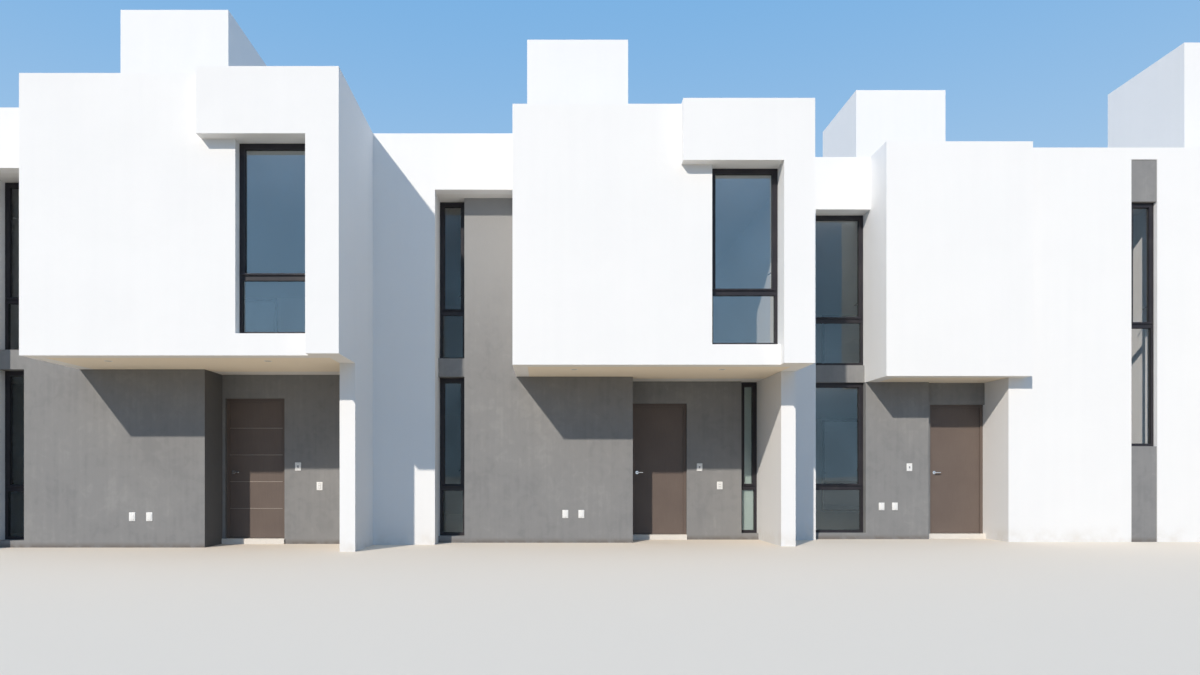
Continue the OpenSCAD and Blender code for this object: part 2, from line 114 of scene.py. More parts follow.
floor = {
    "colour": (0.78, 0.70, 0.60),
    "bounce": (0.30, 0.26, 0.20),        # the colour with which it lights the row
    "roughness": 0.9,
    "reach": 1500.0,         # m
}


def makeCamera():
    data = bpy.data.cameras.new("frontView")
    data.sensor_fit = "HORIZONTAL"
    data.sensor_width = camera["sensor"]
    data.lens = camera["lens"]
    data.shift_x = (camera["pictureW"] / 2 - camera["centreX"]) / camera["pictureW"]
    data.shift_y = (camera["centreY"] - camera["pictureH"] / 2) / camera["pictureW"]
    data.clip_end = camera["clipEnd"]
    view = bpy.data.objects.new("frontView", data)
    view.location = (rowLow.x + camera["fromLeftEnd"], rowLow.y - camera["beforeRow"],
                     camera["eyeHeight"])
    view.rotation_euler = (math.pi / 2, 0, 0)
    bpy.context.scene.collection.objects.link(view)
    bpy.context.scene.camera = view


class Wire:
    # One output of a shader tree; without an output it stands for the tree itself
    def __init__(self, tree, socket=None):
        self.tree = tree
        self.socket = socket

    def node(self, kind, settings=None, inputs=None, out=0):
        made = self.tree.nodes.new(kind)
        for name, value in (settings or {}).items():
            setattr(made, name, value)
        for key, value in (inputs or {}).items():
            if isinstance(value, Wire):
                self.tree.links.new(value.socket, made.inputs[key])
            else:
                made.inputs[key].default_value = value
        return Wire(self.tree, made.outputs[out]) if made.outputs else None

    def math(self, operation, first, second):
        return self.node("ShaderNodeMath", {"operation": operation}, {0: first, 1: second})

    def __add__(self, other):
        return self.math("ADD", self, other)

    def __sub__(self, other):
        return self.math("SUBTRACT", self, other)

    def __mul__(self, other):
        return self.math("MULTIPLY", self, other)

    def __pow__(self, other):
        return self.math("POWER", self, other)

    __radd__ = __add__
    __rmul__ = __mul__

    def __rsub__(self, other):
        return self.math("SUBTRACT", other, self)

    def __rpow__(self, other):
        return self.math("POWER", other, self)


def axis(vector, name):
    return vector.node("ShaderNodeSeparateXYZ", {}, {"Vector": vector}, out=name)


# Noise about 0.5, with scale waves to a metre; stretch multiplies the point first, so that the
# waves are of other lengths along x, y and z
def noise(spot, scale=1.0, detail=2.0, stretch=None, warp=0.0):
    if stretch:
        spot = spot.node("ShaderNodeVectorMath", {"operation": "MULTIPLY"}, {0: spot, 1: stretch})
    return spot.node("ShaderNodeTexNoise", {},
                     {"Vector": spot, "Scale": scale, "Detail": detail, "Distortion": warp})


# A smooth step of a value from low to high between start and end
def rise(value, start, end, low=0.0, high=1.0):
    return value.node("ShaderNodeMapRange", {"interpolation_type": "SMOOTHSTEP"},
                      {"Value": value, "From Min": start, "From Max": end,
                       "To Min": low, "To Max": high})


noiseSpan = (0.3, 0.7)       # most of a noise lies between these
facingSpan = (0.4, 0.6)      # a face turns from one side to the other between these cosines


# A noise carried over from its own span to the one from low to high
def vary(value, low, high):
    return rise(value, *noiseSpan, low, high)


# The sum of some values, each times its share
def mixed(shares, *values):
    first, *rest = (value * share for value, share in zip(values, shares))
    return sum(rest, first)


# One colour goes over to another; of a Mix node, 6, 7 and output 2 are the sockets for colours
def blend(factor, low, high):
    low, high = ((*c, 1.0) if isinstance(c, tuple) else c for c in (low, high))
    return factor.node("ShaderNodeMix", {"data_type": "RGBA"}, {0: factor, 6: low, 7: high}, out=2)


def bump(height, depth):
    return height.node("ShaderNodeBump", {}, {"Height": height, "Distance": depth})


# 1 on the faces that look in a direction, 0 on those square to it or turned away
def facing(spot, direction):
    normal = spot.node("ShaderNodeNewGeometry", out="True Normal")
    cosine = normal.node("ShaderNodeVectorMath", {"operation": "DOT_PRODUCT"},
                         {0: normal, 1: direction}, out="Value")
    return rise(cosine, *facingSpan)


# 1 for what the camera sees, also in metal and through glass, and 0 for what lights the row
def seen(tree):
    rays = [tree.node("ShaderNodeLightPath", out=kind)
            for kind in ("Is Camera Ray", "Is Glossy Ray", "Is Transmission Ray")]
    return tree.node("ShaderNodeClamp", {}, {"Value": rays[0] + rays[1] + rays[2]})


# A material from a recipe, which turns a point of the surface, in metres, into the shader's inputs
def finish(name, recipe):
    material = bpy.data.materials.new(name)
    material.use_nodes = True
    tree = material.node_tree
    shader = tree.nodes["Principled BSDF"]
    spot = Wire(tree).node("ShaderNodeTexCoord", out="Object")
    for key, value in recipe(spot).items():
        if isinstance(value, Wire):
            tree.links.new(value.socket, shader.inputs[key])
        else:
            shader.inputs[key].default_value = value
    return material


# A plain sky, paler at the horizon; the row is lit by one even colour of it
def makeSky():
    scene = bpy.context.scene
    scene.view_settings.view_transform = "Standard"
    world = bpy.data.worlds.new("studio")
    scene.world = world
    world.use_nodes = True
    world.node_tree.nodes.clear()
    tree = Wire(world.node_tree)
    height = axis(tree.node("ShaderNodeTexCoord", out="Generated"), "Z")
    sky = blend(rise(height, 0.0, light["skyTop"]), light["skyLow"], light["skyHigh"])
    lit = tree.node("ShaderNodeBackground", {}, {"Color": (*light["skyLight"], 1.0)})
    drawn = tree.node("ShaderNodeBackground", {}, {"Color": sky})
    both = tree.node("ShaderNodeMixShader", {}, {0: seen(tree), 1: lit, 2: drawn})
    tree.node("ShaderNodeOutputWorld", {}, {"Surface": both})


def makeSun():
    sun = bpy.data.lights.new("key", "SUN")
    sun.energy = light["sunStrength"]
    sun.angle = math.radians(light["sunAngle"])
    sun.color = light["sunColour"]
    lamp = bpy.data.objects.new("key", sun)
    beam = Vector((light["sunAcross"], light["sunBack"], -light["sunDown"]))
    lamp.rotation_euler = beam.to_track_quat("-Z", "Y").to_euler()
    bpy.context.scene.collection.objects.link(lamp)


def makeFloorGlow():
    near, far = (rowLow.y + reach for reach in light["glowReach"])
    glow = bpy.data.lights.new("floorGlow", "AREA")
    glow.shape = "RECTANGLE"
    glow.size, glow.size_y = rowHigh.x - rowLow.x, far - near
    glow.energy = light["glowPower"] * glow.size * glow.size_y
    glow.color = light["glowColour"]
    glow.spread = math.radians(light["glowSpread"])
    lamp = bpy.data.objects.new("floorGlow", glow)
    lamp.location = ((rowLow.x + rowHigh.x) / 2, (near + far) / 2, light["glowHeight"])
    lamp.rotation_euler = (math.pi, 0, 0)
    lamp.visible_camera = False
    lamp.visible_glossy = False
    bpy.context.scene.collection.objects.link(lamp)


def paleFloor(spot):
    return {"Base Color": blend(seen(spot), floor["bounce"], floor["colour"]),
            "Roughness": floor["roughness"]}


def makeFloor():
    reach = floor["reach"]
    mesh = bpy.data.meshes.new("floor")
    mesh.from_pydata([(-reach, -reach, 0), (reach, -reach, 0), (reach, reach, 0), (-reach, reach, 0)],
                     [], [(0, 1, 2, 3)])
    mesh.materials.append(finish("paleFloor", paleFloor))
    made = bpy.data.objects.new("floor", mesh)
    bpy.context.scene.collection.objects.link(made)


makeCamera()
makeSky()
makeSun()
makeFloorGlow()
makeFloor()
print("camera, light and floor made")


# Finishes: a dictionary and a recipe for each. Scales are per metre and depths in metres, and
# relief gives the shares of the noises in the depth

stucco = {
    "paint": (0.872, 0.870, 0.864),
    "shade": (0.856, 0.855, 0.851),
    "mottle": {"scale": 0.9, "detail": 4.0},
    "runs": {"detail": 3.0, "stretch": (7.0, 7.0, 0.3)},
    "toneShares": (0.65, 0.35),
    "toneEdge": (0.35, 0.65),
    "dust": (0.70, 0.655, 0.59),
    "dustShare": 0.6,
    "splash": 0.30,          # m, height of the dusty foot of a wall
    "splashes": {"scale": 5.0, "detail": 4.0},
    "splashEdge": (0.35, 0.8),
    "grain": {"scale": 190.0},
    "float": {"scale": 9.0, "detail": 3.0, "warp": 0.6},
    "hollows": {"scale": 1.6},
    "relief": (0.10, 0.35, 1.0),
    "depth": 0.006,
    "roughness": (0.82, 0.92),
    "specular": 0.3,
}


# Smooth white paint on floated stucco: faintly mottled, with faint runs, a dusty foot and a sandy
# grain
def whiteStucco(spot):
    mottle = noise(spot, **stucco["mottle"])
    tone = mixed(stucco["toneShares"], mottle, noise(spot, **stucco["runs"]))
    paint = blend(rise(tone, *stucco["toneEdge"]), stucco["paint"], stucco["shade"])
    foot = ((1 - rise(axis(spot, "Z"), 0.0, stucco["splash"]))
            * rise(noise(spot, **stucco["splashes"]), *stucco["splashEdge"]))
    height = mixed(stucco["relief"], noise(spot, **stucco["grain"]),
                   noise(spot, **stucco["float"]), noise(spot, **stucco["hollows"]))
    return {"Base Color": blend(foot * stucco["dustShare"], paint, stucco["dust"]),
            "Roughness": vary(mottle, *stucco["roughness"]),
            "Specular IOR Level": stucco["specular"],
            "Normal": bump(height, stucco["depth"])}


render = {
    "mid": (0.254, 0.254, 0.254),
    "dark": (0.228, 0.229, 0.231),
    "pale": (0.290, 0.289, 0.286),
    "broad": {"scale": 1.3, "detail": 5.0, "warp": 0.4},
    "patches": {"scale": 6.5, "detail": 5.0, "warp": 0.8},
    "runs": {"detail": 4.0, "stretch": (16.0, 16.0, 0.9)},
    "toneShares": (0.40, 0.35, 0.25),
    "darkEdge": (0.36, 0.50),
    "paleEdge": (0.50, 0.66),
    "litTop": (0.332, 0.330, 0.326),
    "litTopFrom": (2.6, 4.6),            # m, painted light: between these heights the tall walls are painted paler towards the top
    "litTopShare": 0.85,
    "damp": (0.17, 0.15, 0.135),
    "dampEdge": (0.01, 0.09),            # m
    "dampPatches": (0.3, 0.6, 0.3, 0.8),
    "side": 0.55,            # painted shade: share of the tone left on faces that look along the row to the right, away from the sun
    "inside": (0.80, 0.80, 0.79),
    "intoRoom": (0.0, 1.0, 0.0),         # faces that look this way are inside
    "intoFrontRoom": (-1.0, 1.0, 0.0),   # the same for the walls beside the porches
    "grain": {"scale": 150.0},
    "trowel": {"scale": 11.0, "detail": 4.0, "stretch": (1.0, 1.0, 0.55), "warp": 1.4},
    "relief": (0.16, 0.45, 0.5),
    "depth": 0.005,
    "roughness": (0.80, 0.94),
    "specular": 0.12,
}


# Mottled grey cement render with a damp foot, painted shade on the faces that look to the right, painted
# light towards the top of the tall walls, and white plaster on the faces that look into a room
def greyRender(spot, intoRoom=render["intoRoom"], litTop=0.0):
    broad, patches, runs = (noise(spot, **render[kind]) for kind in ("broad", "patches", "runs"))
    tone = mixed(render["toneShares"], broad, patches, runs)
    paint = blend(rise(tone, *render["darkEdge"]), render["dark"], render["mid"])
    paint = blend(rise(tone, *render["paleEdge"]), paint, render["pale"])
    # Painted light: the tall walls are painted paler towards their tops
    if litTop:
        paint = blend(rise(axis(spot, "Z"), *render["litTopFrom"], 0.0, litTop), paint,
                      render["litTop"])
    damp = (1 - rise(axis(spot, "Z"), *render["dampEdge"])) * rise(patches, *render["dampPatches"])
    paint = blend(damp, paint, render["damp"])
    # Painted shade: faces that look to the right, away from the sun, are painted darker
    side = tuple(render["side"] * part for part in render["mid"])
    paint = blend(facing(spot, (1.0, 0.0, 0.0)), paint, side)
    height = mixed(render["relief"], noise(spot, **render["grain"]), noise(spot, **render["trowel"]),
                   broad)
    return {"Base Color": blend(facing(spot, intoRoom), paint, render["inside"]),
            "Roughness": vary(patches, *render["roughness"]),
            "Specular IOR Level": render["specular"],
            "Normal": bump(height, render["depth"])}


slab = {
    # Painted light: the soffits are painted warm beige for the warm light that the sunlit ground throws
    # up under the boxes
    "warmLitSoffit": (0.93, 0.84, 0.70),
    "ceiling": (0.84, 0.83, 0.81),
    "tile": (0.60, 0.575, 0.54),
    "screed": (0.46, 0.45, 0.43),
    "stain": (0.37, 0.362, 0.35),
    "mottle": {"scale": 1.4, "detail": 5.0, "warp": 0.5},
    "wornEdge": (0.35, 0.68),
    "brushing": {"scale": 2.2, "detail": 3.0},
    "brushed": 0.95,         # share of the colour left where the paint underneath is thin
    "grain": {"scale": 160.0},
    "float": {"scale": 7.0, "detail": 3.0},
    "relief": (0.12, 0.4),
    "depth": 0.004,
    "roughness": (0.75, 0.9),
}


# Slabs: one finish underneath, and another on top that goes to its worn colour in patches
def slabFinish(name, under, top, worn):
    def recipe(spot):
        mottle = noise(spot, **slab["mottle"])
        walked = blend(rise(mottle, *slab["wornEdge"]), top, worn)
        painted = blend(noise(spot, **slab["brushing"]), under,
                        tuple(slab["brushed"] * part for part in under))
        height = mixed(slab["relief"], noise(spot, **slab["grain"]), noise(spot, **slab["float"]))
        return {"Base Color": blend(facing(spot, (0.0, 0.0, 1.0)), painted, walked),
                "Roughness": vary(mottle, *slab["roughness"]),
                "Normal": bump(height, slab["depth"])}
    return finish(name, recipe)


step = {
    "stone": (0.80, 0.76, 0.70),
    "vein": (0.70, 0.665, 0.61),
    "mottle": {"scale": 4.0, "detail": 4.0},
    "speck": (0.50, 0.47, 0.43),
    "specks": {"scale": 90.0, "detail": 3.0},
    "speckEdge": (0.60, 0.72),
    "speckShare": 0.5,
    "relief": (0.3, 1.0),
    "depth": 0.0015,
    "roughness": (0.55, 0.75),
}


# Pale stone, a little speckled
def stepStone(spot):
    specks = noise(spot, **step["specks"])
    mottle = noise(spot, **step["mottle"])
    body = blend(mottle, step["stone"], step["vein"])
    speckled = rise(specks, *step["speckEdge"]) * step["speckShare"]
    return {"Base Color": blend(speckled, body, step["speck"]),
            "Roughness": vary(mottle, *step["roughness"]),
            "Normal": bump(mixed(step["relief"], specks, mottle), step["depth"])}


doorCoat = {
    "paint": (0.153, 0.120, 0.103),
    "shade": (0.135, 0.105, 0.091),
    "grain": {"detail": 5.0, "stretch": (240.0, 240.0, 5.0)},
    "mottle": {"scale": 2.5, "detail": 3.0},
    "toneShares": (0.5, 0.5),
    "toneEdge": (0.35, 0.65),
    "depth": 0.0006,
    "roughness": (0.42, 0.52),
    "specular": 0.25,
}


# Satin taupe paint with a faint upright grain
def doorPaint(spot):
    grain = noise(spot, **doorCoat["grain"])
    tone = mixed(doorCoat["toneShares"], grain, noise(spot, **doorCoat["mottle"]))
    return {"Base Color": blend(rise(tone, *doorCoat["toneEdge"]), doorCoat["paint"], doorCoat["shade"]),
            "Roughness": vary(grain, *doorCoat["roughness"]),
            "Specular IOR Level": doorCoat["specular"],
            "Normal": bump(grain, doorCoat["depth"])}


chrome = {
    "colour": (0.80, 0.80, 0.81),
    "lines": {"detail": 3.0, "stretch": (60.0, 900.0, 900.0)},
    "roughness": (0.14, 0.26),
}


# Chrome with fine brush lines along its length
def brushedChrome(spot):
    lines = noise(spot, **chrome["lines"])
    return {"Base Color": (*chrome["colour"], 1.0), "Metallic": 1.0,
            "Roughness": vary(lines, *chrome["roughness"])}


inlay = {
    "colour": (0.40, 0.345, 0.30),
    "shade": (0.34, 0.295, 0.26),
    "lines": {"detail": 3.0, "stretch": (12.0, 700.0, 700.0)},
    "metallic": 0.3,
    "roughness": (0.42, 0.50),
    "specular": 0.35,
}


# Satin metal strip, brushed along its length
def inlayMetal(spot):
    lines = noise(spot, **inlay["lines"])
    return {"Base Color": blend(lines, inlay["colour"], inlay["shade"]),
            "Metallic": inlay["metallic"],
            "Roughness": vary(lines, *inlay["roughness"]),
            "Specular IOR Level": inlay["specular"]}


coat = {
    "black": (0.026, 0.024, 0.030),
    "dusty": (0.038, 0.034, 0.038),
    "dust": {"scale": 3.5, "detail": 4.0},
    "dustEdge": (0.4, 0.75),
    "peel": {"scale": 420.0},
    "depth": 0.0003,
    "roughness": (0.34, 0.44),
    "specular": 0.3,
}


# Black powder coat with its fine orange-peel and a little dust
def powderCoat(spot):
    dust = noise(spot, **coat["dust"])
    return {"Base Color": blend(rise(dust, *coat["dustEdge"]), coat["black"], coat["dusty"]),
            "Roughness": vary(dust, *coat["roughness"]),
            "Specular IOR Level": coat["specular"],
            "Normal": bump(noise(spot, **coat["peel"]), coat["depth"])}


pane = {
    "tint": (0.80, 0.93, 0.97),
    "straight": 0.065,       # share reflected by each face, seen straight on
    "bayTint": (0.80, 0.92, 0.97),
    "bay": 0.170,            # the same for the coated panes of the front bays
    "slim": 0.035,           # and for the clear ones of the slim windows
    "rearTint": (0.20, 0.25, 0.29),
    "rear": 0.85,            # the darker panes at the rear let little through
    "slant": 0.85,           # more is added towards a slant, up to this along the face
    "slantPower": 5.0,
    "blend": 0.5,
    "dust": {"scale": 1.8, "detail": 4.0},
    "dustSpan": (0.35, 0.8, 0.0, 0.02),
    "dustRoughness": (0.3, 0.8, 0.015, 0.05),
    "waves": {"scale": 1.1, "detail": 1.0},
    "wave": 0.0016,          # m, how far the panes bow
}


# A faint mirror over a clear pane; more of it shows at a slant
def glassFinish(name, tint, straight):
    def recipe(spot):
        slant = spot.node("ShaderNodeLayerWeight", {}, {"Blend": pane["blend"]}, out="Facing")
        dust = noise(spot, **pane["dust"])
        mirror = (rise(dust, *pane["dustSpan"]) + slant ** pane["slantPower"] * pane["slant"]
                  + straight)
        return {"Base Color": (*tint, 1.0), "Metallic": 1.0, "Alpha": mirror,
                "Roughness": rise(dust, *pane["dustRoughness"]),
                "Normal": bump(noise(spot, **pane["waves"]), pane["wave"])}
    return finish(name, recipe)


# Small fittings: two near colours, at the low and the high end of a fine noise or of a broader
# mottle. The fine noise gives the depth, and the roughness too where that is a pair
fittings = {
    "glossPlastic": {"low": (0.84, 0.84, 0.83), "high": (0.80, 0.80, 0.785), "fine": 500.0,
                     "mottle": {"scale": 12.0}, "roughness": (0.28, 0.36), "depth": 0.0001},
    "greyPlastic": {"low": (0.22, 0.23, 0.25), "high": (0.27, 0.28, 0.30), "fine": 400.0,
                    "roughness": 0.35, "depth": 0.0001},
    "blackRubber": {"low": (0.012, 0.012, 0.013), "high": (0.022, 0.022, 0.023), "fine": 300.0,
                    "roughness": (0.65, 0.80), "depth": 0.0003},
    "frostedLens": {"low": (0.88, 0.86, 0.80), "high": (0.80, 0.78, 0.72), "fine": 220.0,
                    "roughness": 0.25, "depth": 0.0004},
    "frostedFilm": {"low": (0.345, 0.425, 0.40), "high": (0.31, 0.39, 0.37), "fine": 260.0,
                    "mottle": {"scale": 6.0, "detail": 4.0}, "roughness": (0.55, 0.70),
                    "specular": 0.2, "depth": 0.0002},
}


def fittingFinish(name):
    look = fittings[name]

    def recipe(spot):
        fine = noise(spot, look["fine"])
        tone = noise(spot, **look["mottle"]) if "mottle" in look else fine
        rough = look["roughness"]
        return {"Base Color": blend(tone, look["low"], look["high"]),
                "Roughness": vary(fine, *rough) if isinstance(rough, tuple) else rough,
                "Specular IOR Level": look.get("specular", 0.5),
                "Normal": bump(fine, look["depth"])}
    return finish(name, recipe)


# One finish for each of the record's material slots, and after them those of single nodes and pieces
finishes = {
    "white_stucco": finish("whiteStucco", whiteStucco),
    "grey_render": finish("greyRender", greyRender),
    "concrete": slabFinish("indoorSlab", slab["ceiling"], slab["tile"], slab["tile"]),
    "step_stone": finish("stepStone", stepStone),
    "door_paint": finish("doorPaint", doorPaint),
    "chrome": finish("brushedChrome", brushedChrome),
    "dark_aluminium": finish("powderCoat", powderCoat),
    "glass": glassFinish("clearGlass", pane["tint"], pane["straight"]),
    "plate_plastic": fittingFinish("glossPlastic"),
    "rubber": fittingFinish("blackRubber"),
    "lens": fittingFinish("frostedLens"),
    "keys": fittingFinish("greyPlastic"),
    "film": fittingFinish("frostedFilm"),
    "inlay": finish("inlayMetal", inlayMetal),
    # The box soffits underneath carry painted warm light from below
    "warmLitSoffit": slabFinish("warmLitSoffitSlab", slab["warmLitSoffit"], slab["tile"], slab["tile"]),
    "roof": slabFinish("roofSlab", slab["ceiling"], slab["screed"], slab["stain"]),
    "tallRender": finish("greyRenderTall", lambda spot: greyRender(spot, litTop=render["litTopShare"])),
    "sideRender": finish("greyRenderSide", lambda spot: greyRender(spot, render["intoFrontRoom"])),
    "bayGlass": glassFinish("bayGlass", pane["bayTint"], pane["bay"]),
    "slimGlass": glassFinish("slimGlass", pane["tint"], pane["slim"]),
    "rearGlass": glassFinish("rearGlass", pane["rearTint"], pane["rear"]),
}
finishOfNode = {
    "box_floors": "warmLitSoffit",
    "roofs": "roof",
    "front_roofs": "roof",
    "tall_grey_walls": "tallRender",
    "porch_side_walls": "sideRender",
    "bay_window_glass": "bayGlass",
    "slim_window_glass": "slimGlass",
    "rear_window_glass": "rearGlass",
}

for part in frame["record"]["subparts"]:
    mesh = frame["nodes"][part["node"]].data
    mesh.materials.clear()
    mesh.materials.append(finishes[finishOfNode.get(part["node"], part["material_slot"])])
print("finishes made:", len(finishes))


# Pieces

meshing = {
    "mergeWithin": 1e-6,     # m
    "sharpFrom": 35.0,       # degrees between faces
    "decimals": 5,           # of a metre, to which two CAD points are the same
    "leastRadius": 0.0002,   # m, left at a corner by a bevel
}


class Shell:
    # The points and faces of one piece, gathered from grids of points
    def __init__(self):
        self.points = []
        self.faces = []
        self.count = 0

    # Joins each row of a grid to the next; a row is a closed loop of points. A ring joins its last
    # row to its first, and any other skin is closed by a face over its first and its last row
    def skin(self, rows, ring=False):
        count, around = rows.shape[:2]
        number = self.count + np.arange(count * around).reshape(count, around)
        here, there = (number, np.roll(number, -1, axis=0)) if ring else (number[:-1], number[1:])
        quads = np.stack((here, np.roll(here, -1, axis=1), np.roll(there, -1, axis=1), there), axis=-1)
        self.faces += quads.reshape(-1, 4).tolist()
        if not ring:
            self.faces += number[[0, -1]].tolist()
        self.points.append(rows.reshape(-1, 3))
        self.count += count * around


# A piece of the object from a shell; its look is the name of its finish where that isn't its slot's
def makePiece(name, shell, slot, look=None, body="row"):
    mesh = bpy.data.meshes.new(name)
    mesh.from_pydata(np.concatenate(shell.points).tolist(), [], shell.faces)
    work = bmesh.new()
    work.from_mesh(mesh)
    bmesh.ops.remove_doubles(work, verts=work.verts, dist=meshing["mergeWithin"])
    bmesh.ops.recalc_face_normals(work, faces=work.faces)
    work.to_mesh(mesh)
    work.free()
    mesh.shade_smooth()
    mesh.set_sharp_from_angle(angle=math.radians(meshing["sharpFrom"]))
    mesh.materials.append(finishes[look or slot])
    made = bpy.data.objects.new(name, mesh)
    bpy.context.scene.collection.objects.link(made)
    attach(made, body)
    return made


# Lowest and highest corner of each separate solid in a CAD node: each point takes the lowest label
# among those that its edges lead to, over and over, until the points of a solid share one label
def solidsOf(name):
    mesh = frame["nodes"][name].data
    points = np.empty(3 * len(mesh.vertices))
    mesh.vertices.foreach_get("co", points)
    points = points.reshape(-1, 3)
    ends = np.empty(2 * len(mesh.edges), dtype=np.int32)
    mesh.edges.foreach_get("vertices", ends)
    rounded = points.round(meshing["decimals"])
    same = np.unique(rounded, axis=0, return_inverse=True)[1].reshape(-1)
    first, second = same[ends.reshape(-1, 2)].T
    label = np.arange(same.max() + 1)
    while True:
        lowest = label.copy()
        np.minimum.at(lowest, first, label[second])
        np.minimum.at(lowest, second, label[first])
        if (lowest == label).all():
            break
        label = lowest
    label = label[same]
    return [(Vector(points[label == k].min(0)), Vector(points[label == k].max(0)))
            for k in np.unique(label)]


# Each shape below is a grid of points, (rows, points in a row, 3), worked out from two parameters

# The grid whose three coordinates are x, y and z, each repeated where it doesn't vary
def gridOf(x, y, z):
    return np.stack(np.broadcast_arrays(x, y, z), axis=-1)


# A closed profile of (inwards, outwards) carried round a rectangle in x and z, from its corner low
# to its corner high, on a face at y: each row is the profile at one corner of the rectangle.
# Outwards is -1 at the front and 1 at the rear
def rimRows(low, high, profile, y, outwards):
    inner, outer = np.transpose(profile)
    right, top = np.array(((0, 1, 1, 0), (0, 0, 1, 1)))[:, :, None]
    return gridOf(np.where(right, high[0] - inner, low[0] + inner), y + outwards * outer,
                  np.where(top, high[1] - inner, low[1] + inner))


# A plate with round corners and a bevelled edge, on a face at y: each row is its outline, four
# quarter circles, drawn in by one inset of the profile of (inset, outwards). A point is the centre
# of its corner plus the corner's radius times the cosine and sine of its angle
def plateRows(centre, width, height, corner, profile, y, outwards, steps=5):
    inset, outer = np.transpose(profile)[:, :, None]
    radius = np.maximum(corner - inset, meshing["leastRadius"])
    quarter = np.repeat(np.arange(4), steps)
    turn = (quarter + np.tile(np.linspace(0, 1, steps), 4)) * math.pi / 2
    sideX = np.where((quarter == 0) | (quarter == 3), 1, -1)
    sideZ = np.where(quarter < 2, 1, -1)
    return gridOf(centre[0] + sideX * (width / 2 - inset - radius) + radius * np.cos(turn),
                  y + outwards * outer,
                  centre[1] + sideZ * (height / 2 - inset - radius) + radius * np.sin(turn))


# A closed profile of (outwards, up) carried along x: each row is the profile at one end
def railRows(ends, profile, y, z, outwards):
    outer, up = np.transpose(profile)
    return gridOf(np.asarray(ends)[:, None], y + outwards * outer, z + up)


# A profile of (radius, drop) turned round an upright line: each row is the profile at one angle,
# with the radius times its cosine and sine added to x and y, and the drop taken from z
def turnedRows(centre, profile, around):
    radius, drop = np.transpose(profile)
    turn = np.arange(around)[:, None] * 2 * math.pi / around
    return gridOf(centre.x + radius * np.cos(turn), centre.y + radius * np.sin(turn), centre.z - drop)


# A flattened tube: each row is an ellipse square to the path of (x, y, z), which is the path's point
# plus the half-width in the path's plane times the cosine of an angle and the one out of that plane
# times its sine
def tubeRows(path, across, thick, sides=12):
    along = np.gradient(path, axis=0)
    along /= np.linalg.norm(along, axis=1)[:, None]
    flat = np.cross(path[-1] - path[0], path[1] - path[0])
    flat /= np.linalg.norm(flat)
    side = np.cross(along, flat)
    turn = np.arange(sides)[:, None] * 2 * math.pi / sides
    return (path[:, None] + side[:, None] * np.cos(turn) * across[:, None, None]
            + flat * np.sin(turn) * thick[:, None, None])


# The side that a window looks to: -1 for the front, 1 for the rear
def outwardsAt(low, high):
    return 1 if low.y + high.y > 0 else -1


gasket = {
    "profile": ((0, 0), (0.006, 0), (0.006, 0.002), (0.0045, 0.0045), (0.002, 0.006), (0, 0.006)),
    "panes": ("bay_window_glass", "slim_window_glass", "wide_window_glass", "rear_window_glass"),
}


# Rubber gaskets that hold each pane in its frame, on both faces
def makeGaskets():
    for node in gasket["panes"]:
        shell = Shell()
        for low, high in solidsOf(node):
            for y, outwards in ((low.y, -1), (high.y, 1)):
                rows = rimRows((low.x, low.z), (high.x, high.z), gasket["profile"], y, outwards)
                shell.skin(rows, ring=True)
        makePiece(node.replace("window_glass", "gaskets"), shell, "dark_aluminium", "rubber")


drip = {
    "endGap": 0.003,         # m between a drip rail's end and the casement's side
    "profile": ((0.000, 0.003), (0.012, 0.004), (0.0145, 0.006), (0.0145, 0.009),
                (0.009, 0.016), (0.003, 0.024), (0.000, 0.025)),    # outwards and up
}
catch = {
    "rise": 0.28,            # m from the foot of a casement
    "stile": 0.016,          # from the casement's side to the middle of the handle
    "width": 0.022,
    "height": 0.080,
    "corner": 0.008,
    "profile": ((0.0, 0.0), (0.0, 0.006), (0.0015, 0.0078), (0.004, 0.0085)),
    "reach": 0.075,          # length of its grip
    "arm": 0.032,            # how far the grip stands off
    "foot": 0.006,           # where the arm leaves its plate
    "bend": 0.012,           # radius between arm and grip
    "bendSteps": 6,
    "slope": 35.0,           # degrees that the grip hangs down
    "along": (0.35, 0.7, 0.95, 1.0),     # places on the straight grip, as shares of it
    "thick": (0.007, 0.007, 0.0065, 0.0065, 0.0065, 0.0065, 0.0065, 0.0065,
              0.0075, 0.008, 0.006, 0.002),      # half-width at each point of arm, bend and grip
    "flat": 0.8,             # its other half-width, as a share of that
}


# The path of a handle, straight arm, quarter circle and straight grip: how far it goes along the
# grip and how far it stands off
def catchPath():
    turn = np.linspace(0, math.pi / 2, catch["bendSteps"] + 1)[1:]
    arm, bend = catch["arm"], catch["bend"]
    shares = np.array(catch["along"])
    along = np.concatenate(((0, 0), bend * (1 - np.cos(turn)), bend + (catch["reach"] - bend) * shares))
    off = np.concatenate(((catch["foot"], arm - bend), arm - bend + bend * np.sin(turn),
                          np.full(len(shares), arm)))
    return along, off


